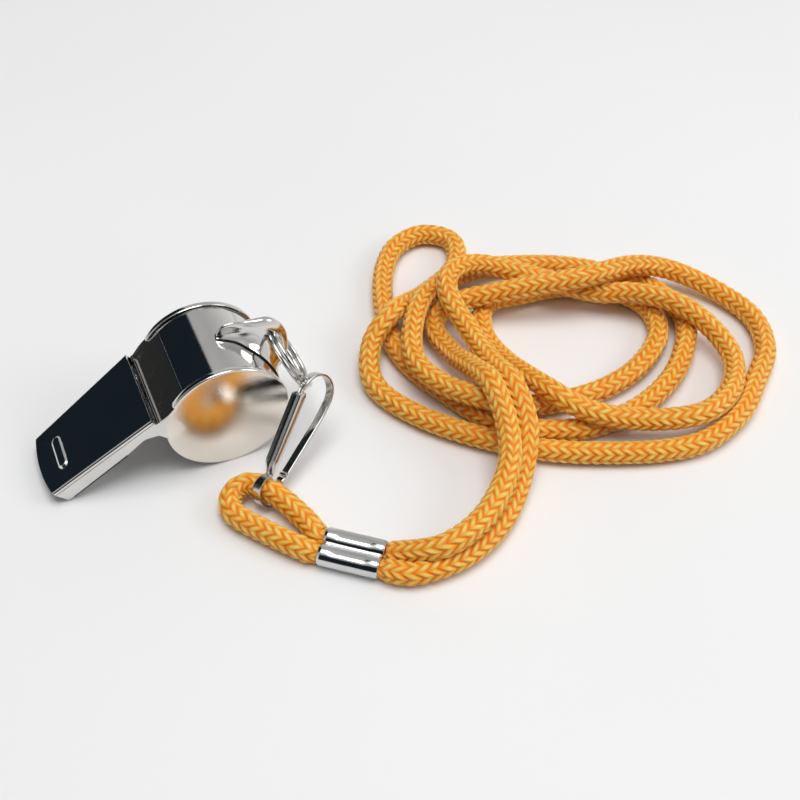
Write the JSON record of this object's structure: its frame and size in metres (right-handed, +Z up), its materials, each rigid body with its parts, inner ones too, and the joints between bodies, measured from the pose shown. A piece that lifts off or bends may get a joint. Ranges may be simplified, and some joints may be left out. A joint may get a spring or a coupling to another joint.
{
  "type": "sports whistle",
  "caption": "Metal pea whistle on a split ring and sprung clip, with a knitted neck cord held by a crimp ferrule.",
  "frame": {"origin": "on the table, under the middle of the box round the metal parts", "axes": "+X from the lip toward the rear of the drum, +Y toward the far cheek, +Z up"},
  "size_m": [0.1375, 0.0806, 0.0238],
  "materials": {
    "plated_steel": "nickel plated, mirror bright to fine satin",
    "spring_steel": "nickel plated spring wire and strip",
    "cork": "turned cork ball",
    "knit_cord": "knitted polyester, orange yellow"
  },
  "bodies": {
    "lanyard": {"neck_cord": "knit_cord", "clip_cord": "knit_cord", "ferrule": "plated_steel", "ferrule_cords": "knit_cord"},
    "clip": {"clip_channel": "spring_steel"},
    "gate": {"clip_spring": "spring_steel"},
    "ring": {"split_ring": "spring_steel"},
    "whistle": {"mouthpiece_top": "plated_steel", "mouthpiece_floor": "plated_steel", "windway_floor": "plated_steel", "drum_band": "plated_steel", "near_cheek": "plated_steel", "far_cheek": "plated_steel", "ring_lug": "plated_steel"},
    "pea_ball": {"pea": "cork"}
  },
  "joints": [
    {"name": "clip_swing", "type": "hinge", "parent": "lanyard", "child": "clip", "pos_m": [0.00923, -0.0137, 0.00305], "axis": [-0.4284, 0.8353, -0.3447], "range_deg": [-45, 20]},
    {"name": "clip_gate", "type": "hinge", "parent": "clip", "child": "gate", "pos_m": [0.01273, -0.01178, 0.00335], "axis": [-0.4284, 0.8353, -0.3447], "range_deg": [-8, 0], "stiffness_Nm_per_rad": 0.2, "springref_deg": 1.15},
    {"name": "ring_swing", "type": "hinge", "parent": "gate", "child": "ring", "pos_m": [0.02393, -0.00195, 0.01324], "axis": [-0.5869, 0.0328, 0.809], "range_deg": [-45, 0]},
    {"name": "whistle_swing", "type": "hinge", "parent": "ring", "child": "whistle", "pos_m": [0.01781, 0.00686, 0.01834], "axis": [0, 1, 0], "range_deg": [-4, 70]},
    {"name": "pea_roll", "type": "hinge", "parent": "whistle", "child": "pea_ball", "pos_m": [0.0066, 0.00686, 0.011], "axis": [0, 1, 0], "continuous": true}
  ]
}
